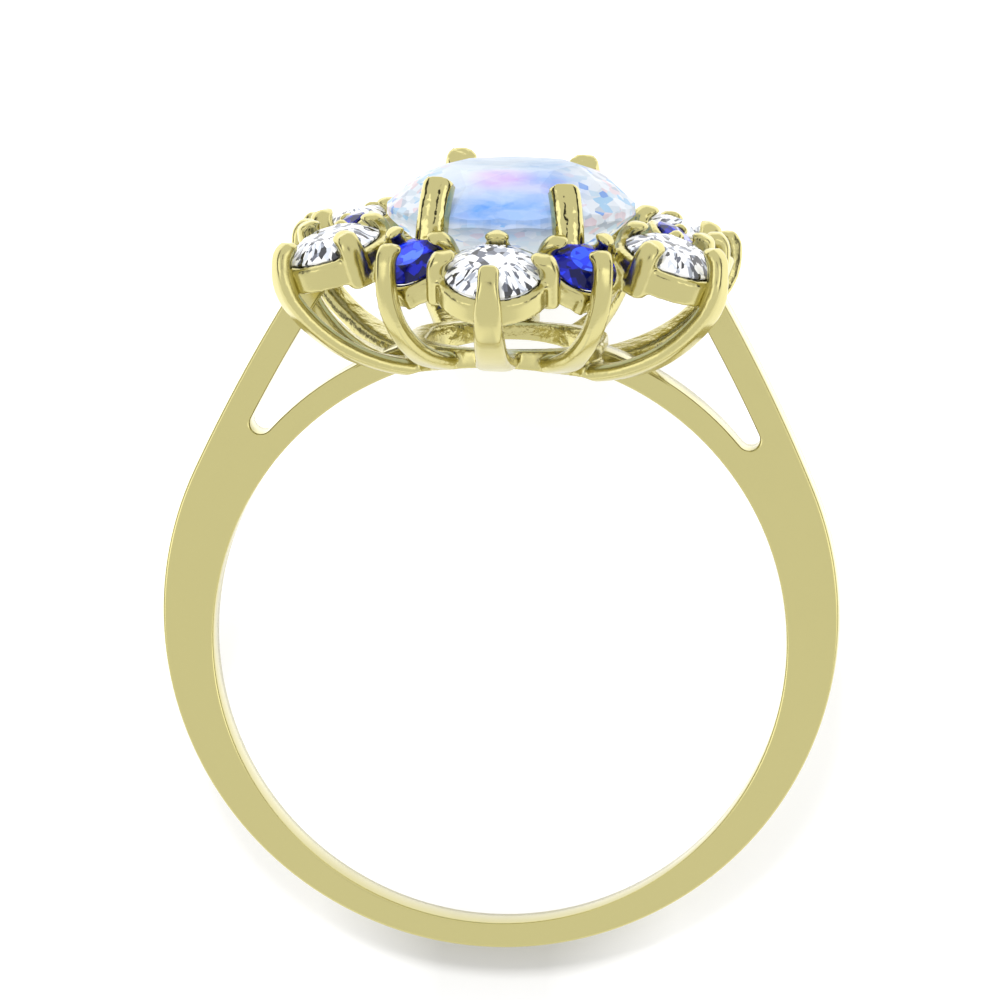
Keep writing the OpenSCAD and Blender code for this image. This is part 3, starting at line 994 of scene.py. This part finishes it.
# %% Make the moonstone's claws
CLAW_FOOT = (1.98, 4.05, 10.5)
CLAW_BEND = (1.95, 4.05, 12.7)
CLAW_TIP = (1.74, 3.84, 13.42)
CLAW_SLANT = math.radians(17)
CLAW_WIDTH, CLAW_THICK, CLAW_ROUND = 0.9, 0.86, 0.85
CLAW_SIDEWAYS = 0.25
CLAW_LIFT = 0.05
CLAW_STEPS = 16
FRONT_DOME, REAR_DOME = 0.12, 0.24


def add_moonstone_claw(bm, sx, sy):
    """The claw at the left or right, sx, and at the front or rear, sy, both -1 or 1."""
    foot, bend, tip = (Vector((sx * p[0], sy * p[1], p[2])) for p in (CLAW_FOOT, CLAW_BEND, CLAW_TIP))
    tip.z -= sx * CLAW_LIFT
    inward = Vector((-sx * CLAW_SIDEWAYS, -sy, 0)).normalized()
    side = Vector((0, 0, 1)).cross(-inward)
    shear = Matrix.Identity(4)
    stations = []
    for i in range(CLAW_STEPS + 1):
        t = i / CLAW_STEPS
        place = foot * (1 - t) ** 2 + bend * 2 * t * (1 - t) + tip * t**2
        way = ((bend - foot) * (1 - t) + (tip - bend) * t).normalized()
        out = way.cross(side).normalized()
        if out.dot(inward) > 0:
            out = -out
        shear[2][1] = -CLAW_THICK / 2 * math.tan(CLAW_SLANT) * t
        stations.append(station(place, side, out, CLAW_WIDTH / 2, CLAW_THICK / 2) @ shear)
    rounded_end(stations, FRONT_DOME if sy < 0 else REAR_DOME, 6)
    sweep_bar(bm, stations, CLAW_ROUND, segments=6)


def make_moonstone_claws():
    bm = bmesh.new()
    for sx in (-1, 1):
        for sy in (-1, 1):
            add_moonstone_claw(bm, sx, sy)
    skin = fuse(bm, CLAW_VOXEL, 6)
    finish_piece(skin, "claws_of_the_moonstone", gold_hammered, CAST_SHARP)


make_moonstone_claws()

# %% [markdown]
# ## Cutting the stones
# A cutter grinds flat after flat on a round blank. The facets could be built corner by
# corner, but a small error would bend a flat. Here the blank is a cylinder of radius
# one, and bisect_plane takes off what lies outside each facet's plane, so every facet
# is truly flat. The crown gets a table, eight kites, eight stars and sixteen halves,
# the pavilion eight mains and sixteen halves. Scaling the cut gives any size or an oval.

# %% Facet planes
HALF_STEP = 22.5


def plane_through(p, q, r):
    """Point and outward normal of the plane through three points, away from the axis."""
    normal = (q - p).cross(r - p).normalized()
    if normal.dot(p) < 0:
        normal = -normal
    return p, normal


def on_ring(radius, degrees, z):
    a = math.radians(degrees)
    return Vector((radius * math.cos(a), radius * math.sin(a), z))


def main_facet(rim, point_r, point_z, swell):
    """Plane of a main facet, from its inner corner to just outside the girdle."""
    apex = on_ring(point_r, 0, point_z)
    normal = (on_ring(1 + swell, 0, rim) - apex).cross(Vector((0, 1, 0))).normalized()
    return apex, normal if normal.x > 0 else -normal


def corner_on_mains(main, radius):
    """Where two neighbouring mains meet at a radius, half a step round."""
    point, normal = main
    place = on_ring(radius, HALF_STEP, 0)
    place.z = (normal.dot(point) - normal.x * place.x - normal.y * place.y) / normal.z
    return place


# %% Cut a brilliant
BLANK_SIDES, BLANK_LENGTH = 96, 2.4
LOWER_HALVES = 0.24
ON_PLANE = 1e-6
FACET_SHARP = 1


def cut_plane(bm, point, normal):
    geom = bm.verts[:] + bm.edges[:] + bm.faces[:]
    cut = bmesh.ops.bisect_plane(bm, geom=geom, dist=ON_PLANE, plane_co=point, plane_no=normal,
                                 clear_outer=True)
    rim = edges_in(cut["geom_cut"])
    if len(rim) > 2:
        bmesh.ops.contextual_create(bm, geom=rim)


def cut_round(bm, point, normal, k, mirror=False):
    """Cuts the k-th of eight like facets, or its mirror image."""
    if mirror:
        point, normal = (Vector((v.x, -v.y, v.z)) for v in (point, normal))
    turn = Matrix.Rotation(math.radians(45 * k), 3, "Z")
    cut_plane(bm, turn @ point, turn @ normal)


def cut_stone(bm, crown, pavilion, rims, table, swell=0.0):
    """Cuts a brilliant of girdle radius one out of a cylinder."""
    bmesh.ops.create_cone(bm, cap_ends=True, segments=BLANK_SIDES, radius1=1, radius2=1,
                          depth=pavilion * BLANK_LENGTH)
    girdle, under_girdle = rims
    upper = main_facet(girdle, table, crown, swell)
    under = main_facet(-under_girdle, 0, -pavilion, 0)
    star_corner = corner_on_mains(upper, table + (1 - table) / 2)
    low_corner = corner_on_mains(under, LOWER_HALVES)
    halves = plane_through(on_ring(1, 0, girdle), on_ring(1, HALF_STEP, girdle), star_corner)
    stars = plane_through(on_ring(table, 0, crown), on_ring(table, 45, crown), star_corner)
    lowers = plane_through(on_ring(1, 0, -under_girdle), on_ring(1, HALF_STEP, -under_girdle), low_corner)
    for k in range(8):
        cut_round(bm, *upper, k)
        cut_round(bm, *under, k)
    for k in range(8):
        for mirror in (False, True):
            cut_round(bm, *halves, k, mirror)
            cut_round(bm, *lowers, k, mirror)
        cut_round(bm, *stars, k)
    cut_plane(bm, Vector((0, 0, crown)), Vector((0, 0, 1)))


# %% [markdown]
# The patterns in a stone need to know where they are in the cut, whatever its size and
# lean. So each corner's place is written on the mesh as an attribute before the stone
# is scaled and set, and each facet gets a steady painted shade of its own, lighter or
# darker, for the light that facet catches. A number shifts the pattern, so that no two
# round stones of one kind flash alike.

# %% Note on each facet where it lies in the stone
STONE_SHIFT = 10


def note_facets(bm, number):
    """Keeps every corner's place in the stone and a steady painted shade for every facet."""
    place = bm.verts.layers.float_vector.new("cut_place")
    shade = bm.faces.layers.float.new("facet_shade")
    chance = random.Random(number)
    for v in bm.verts:
        v[place] = v.co + Vector((0, 0, STONE_SHIFT * number))
    for face in sorted(bm.faces, key=lambda f: tuple(round(c, 3) for c in f.calc_center_median())):
        face[shade] = chance.random()


# %% [markdown]
# ## Round stones
# The halo has six larger and six smaller brilliants, all cut alike. Twelve copies of
# one mesh would be quicker to make, but every stone would flash alike. So each is cut
# anew and noted with a number, then scaled to its size and set in its seat.

# %% Cut the round stones
ROUND_CROWN, ROUND_PAVILION, ROUND_TABLE, ROUND_RIM = 0.30, 0.86, 0.56, 0.04


def make_round_stone(name, r, where, material, number):
    bm = bmesh.new()
    cut_stone(bm, ROUND_CROWN, ROUND_PAVILION, (ROUND_RIM / r, ROUND_RIM / r), ROUND_TABLE)
    note_facets(bm, number)
    bmesh.ops.transform(bm, matrix=where @ Matrix.Scale(r, 4), verts=bm.verts)
    finish_piece(bm, name, material, FACET_SHARP, name)


for i in range(6):
    make_round_stone(f"diamond_{i + 1}", LARGE_R, large_seat(i), diamond_clear, i)
    make_round_stone(f"sapphire_{i + 1}", SMALL_R, small_seat(i), sapphire_blue, i)

# %% [markdown]
# ## Centre stone
# The moonstone is an oval with a deep pavilion and a full, cushioned crown, and it sits
# a touch off level. Cutting it from an oval blank would need an angle for every facet.
# Stretching the round cut keeps all facets flat and needs none. The swell lets the main
# facets pass a little outside the girdle, which makes the crown fuller.

# %% Cut the moonstone
MOON_A, MOON_B, MOON_Z, MOON_ROLL = 3.55, 4.4, 12.35, 1.4
MOON_CROWN, MOON_PAVILION, MOON_RIMS = 1.33, 3.25, (0.24, 0.1)
MOON_TABLE, MOON_SWELL = 0.53, 0.12


def make_moonstone():
    bm = bmesh.new()
    cut_stone(bm, MOON_CROWN, MOON_PAVILION, MOON_RIMS, MOON_TABLE, MOON_SWELL)
    bmesh.ops.transform(bm, matrix=Matrix.Diagonal((MOON_A, MOON_B, 1, 1)), verts=bm.verts)
    note_facets(bm, 0)
    place = Matrix.Translation((0, 0, MOON_Z)) @ Matrix.Rotation(math.radians(-MOON_ROLL), 4, "Y")
    bmesh.ops.transform(bm, matrix=place, verts=bm.verts)
    finish_piece(bm, "moonstone", moonstone_milk, FACET_SHARP, "moonstone")


make_moonstone()

# %% [markdown]
# ## Studio
# The photograph shows the ring against plain white, with only a small shadow under the
# band. A plain pale floor would turn grey wherever the ring shades it, and more lamps
# would flatten the gold. So the floor glows by itself, which is painted light, not a
# lamp: it glows most under the head of the ring, where it paints out the head's
# shadow, and more beside and above the band. Just below the middle of the band it
# glows least, so that a small soft shadow stays where the ring touches the floor.

# %% Floor
FLOOR_SIZE = 1.2
GLOW_EDGE, GLOW_MIDDLE, GLOW_HEAD, GLOW_SIDE = 0.2, 0.46, 0.68, 0.54
BAND_FROM, BAND_TO, HEAD_FROM, HEAD_TO = -0.0112, -0.0092, -0.003, 0.002
SHADOW_HALF, SHADOW_END = 0.0015, 0.0052
WHITE, PALE, DARK = ((v, v, v, 1) for v in (1, 0.52, 0.01))


def add_stage(name, size, where, material):
    """A flat sheet of the studio, not a part of the ring."""
    bm = bmesh.new()
    bmesh.ops.create_grid(bm, x_segments=1, y_segments=1, size=0.5)
    bmesh.ops.scale(bm, vec=(*size, 1), verts=bm.verts)
    bmesh.ops.transform(bm, matrix=where, verts=bm.verts)
    sheet = add_object(bm, name, material)
    return sheet


def painted_glow_floor_finish():
    material, tree, shader = new_material("pale_floor_with_painted_glow")
    set_inputs(shader, {"Base Color": PALE, "Roughness": 0.8, "Specular IOR Level": 0,
                        "Emission Color": WHITE})
    x, y, _ = split(tree, object_place(tree))
    # Painted light: least glow just below the middle of the band, more to its sides and above, most under
    # the head to paint out its shadow
    along = spread(tree, y, GLOW_EDGE, GLOW_MIDDLE, BAND_FROM, BAND_TO)
    across = spread(tree, reckon(tree, "ABSOLUTE", x), GLOW_EDGE, GLOW_SIDE, SHADOW_HALF, SHADOW_END)
    under_head = spread(tree, y, 0, GLOW_HEAD - GLOW_MIDDLE, HEAD_FROM, HEAD_TO)
    glow = reckon(tree, "ADD", reckon(tree, "MAXIMUM", along, across), under_head)
    tree.links.new(glow, shader.inputs["Emission Strength"])
    return material


add_stage("floor", (FLOOR_SIZE, FLOOR_SIZE), Matrix.Identity(4), painted_glow_floor_finish())
print("floor", FLOOR_SIZE, "m wide")

# %% [markdown]
# Gold shows what stands round it. One bright lamp would burn white spots into it, and a
# white sky alone leaves it flat. So the sky is an even white, and two bright panels at
# the sides give the broad highlights. Dark cards at the sides and round the lens give
# the darker lines that make metal look polished. The metal doesn't mirror the one lamp,
# which lights the floor and the stones. All of them are out of the picture.

# %% Sky and lights
def make_sky():
    world = bpy.data.worlds.new("light_tent")
    world.use_nodes = True
    set_inputs(world.node_tree.nodes["Background"], {"Color": WHITE, "Strength": 1})
    scene.world = world


def add_softbox(name, place, size, power):
    """A square lamp that looks at the ring, which the metal doesn't mirror."""
    light = bpy.data.lights.new(name, "AREA")
    light.shape = "RECTANGLE"
    light.size = light.size_y = size
    light.energy = power
    lamp = bpy.data.objects.new(name, light)
    lamp.location = place
    lamp.rotation_euler = (-Vector(place)).to_track_quat("-Z", "Y").to_euler()
    lamp.visible_glossy = False
    scene.collection.objects.link(lamp)


def add_card(name, place, size, glow=0.0):
    """A dark card, or a glowing panel, that faces the ring and that the camera can't see."""
    material, _, shader = new_material(name)
    set_inputs(shader, {"Base Color": DARK, "Emission Color": WHITE, "Emission Strength": glow})
    aim = (-Vector(place)).to_track_quat("Z", "Y").to_matrix().to_4x4()
    card = add_stage(name, size, Matrix.Translation(place) @ aim, material)
    card.visible_camera = False


make_sky()
add_softbox("key_softbox", (-0.03, 0.14, 0.39), 0.1, 1.2)
add_card("lens_hood", (0.0296, -0.0756, 0.3916), (0.09, 0.09))
add_card("card_left", (-0.3, 0.05, 0.07), (0.3, 0.1))
add_card("card_right", (0.3, 0.05, 0.07), (0.3, 0.1))
add_card("panel_left", (-0.3, -0.1, 0.26), (0.12, 0.2), 1.75)
add_card("panel_right", (0.3, -0.1, 0.26), (0.12, 0.2), 1.75)
print("one lamp, three dark cards and two bright panels")

# %% [markdown]
# ## Camera
# The photograph looks at the ring's near side from a little to the right and a little
# above. A long lens keeps the shank round. The camera could be placed by eye, but then
# every correction would move all of the picture. So its place is given in the upright
# frame as two angles and a distance, and laid down with the ring, and it aims beside
# the finger hole by so much that the middle of the hole comes to its own pixel.

# %% Camera
CAMERA_SIDE, CAMERA_RISE, CAMERA_ROLL = (math.radians(v) for v in (4.3, 9.1, 1.37))
CAMERA_FAR = 238
PIXELS_PER_MM = 34.7
HOLE_PIXEL = Vector((501.2, 636.8))
FRAME_PIXELS = 1000
SENSOR = 36


def make_camera():
    towards = Vector((math.sin(CAMERA_SIDE) * math.cos(CAMERA_RISE),
                      -math.cos(CAMERA_SIDE) * math.cos(CAMERA_RISE), math.sin(CAMERA_RISE)))
    right = Vector((math.cos(CAMERA_SIDE), math.sin(CAMERA_SIDE), 0))
    up = towards.cross(right)
    right, up = (right * math.cos(CAMERA_ROLL) + up * math.sin(CAMERA_ROLL),
                 up * math.cos(CAMERA_ROLL) - right * math.sin(CAMERA_ROLL))
    off = (Vector((FRAME_PIXELS / 2, FRAME_PIXELS / 2)) - HOLE_PIXEL) / PIXELS_PER_MM
    aim = right * off.x - up * off.y
    spot = towards * CAMERA_FAR
    back = (spot - aim).normalized()
    right = up.cross(back).normalized()
    turn = Matrix([right, back.cross(right), back]).transposed()
    data = bpy.data.cameras.new("camera")
    data.sensor_width = SENSOR
    data.lens = SENSOR * PIXELS_PER_MM * (spot - aim).length / FRAME_PIXELS
    data.clip_start, data.clip_end = 0.01, 10
    camera = bpy.data.objects.new("camera", data)
    camera.matrix_world = Matrix.Translation(LAY @ spot) @ (TURN.to_3x3() @ turn).to_4x4()
    scene.collection.objects.link(camera)
    scene.camera = camera
    print("lens", round(data.lens, 1), "mm")


make_camera()
scene.view_settings.view_transform = "Standard"
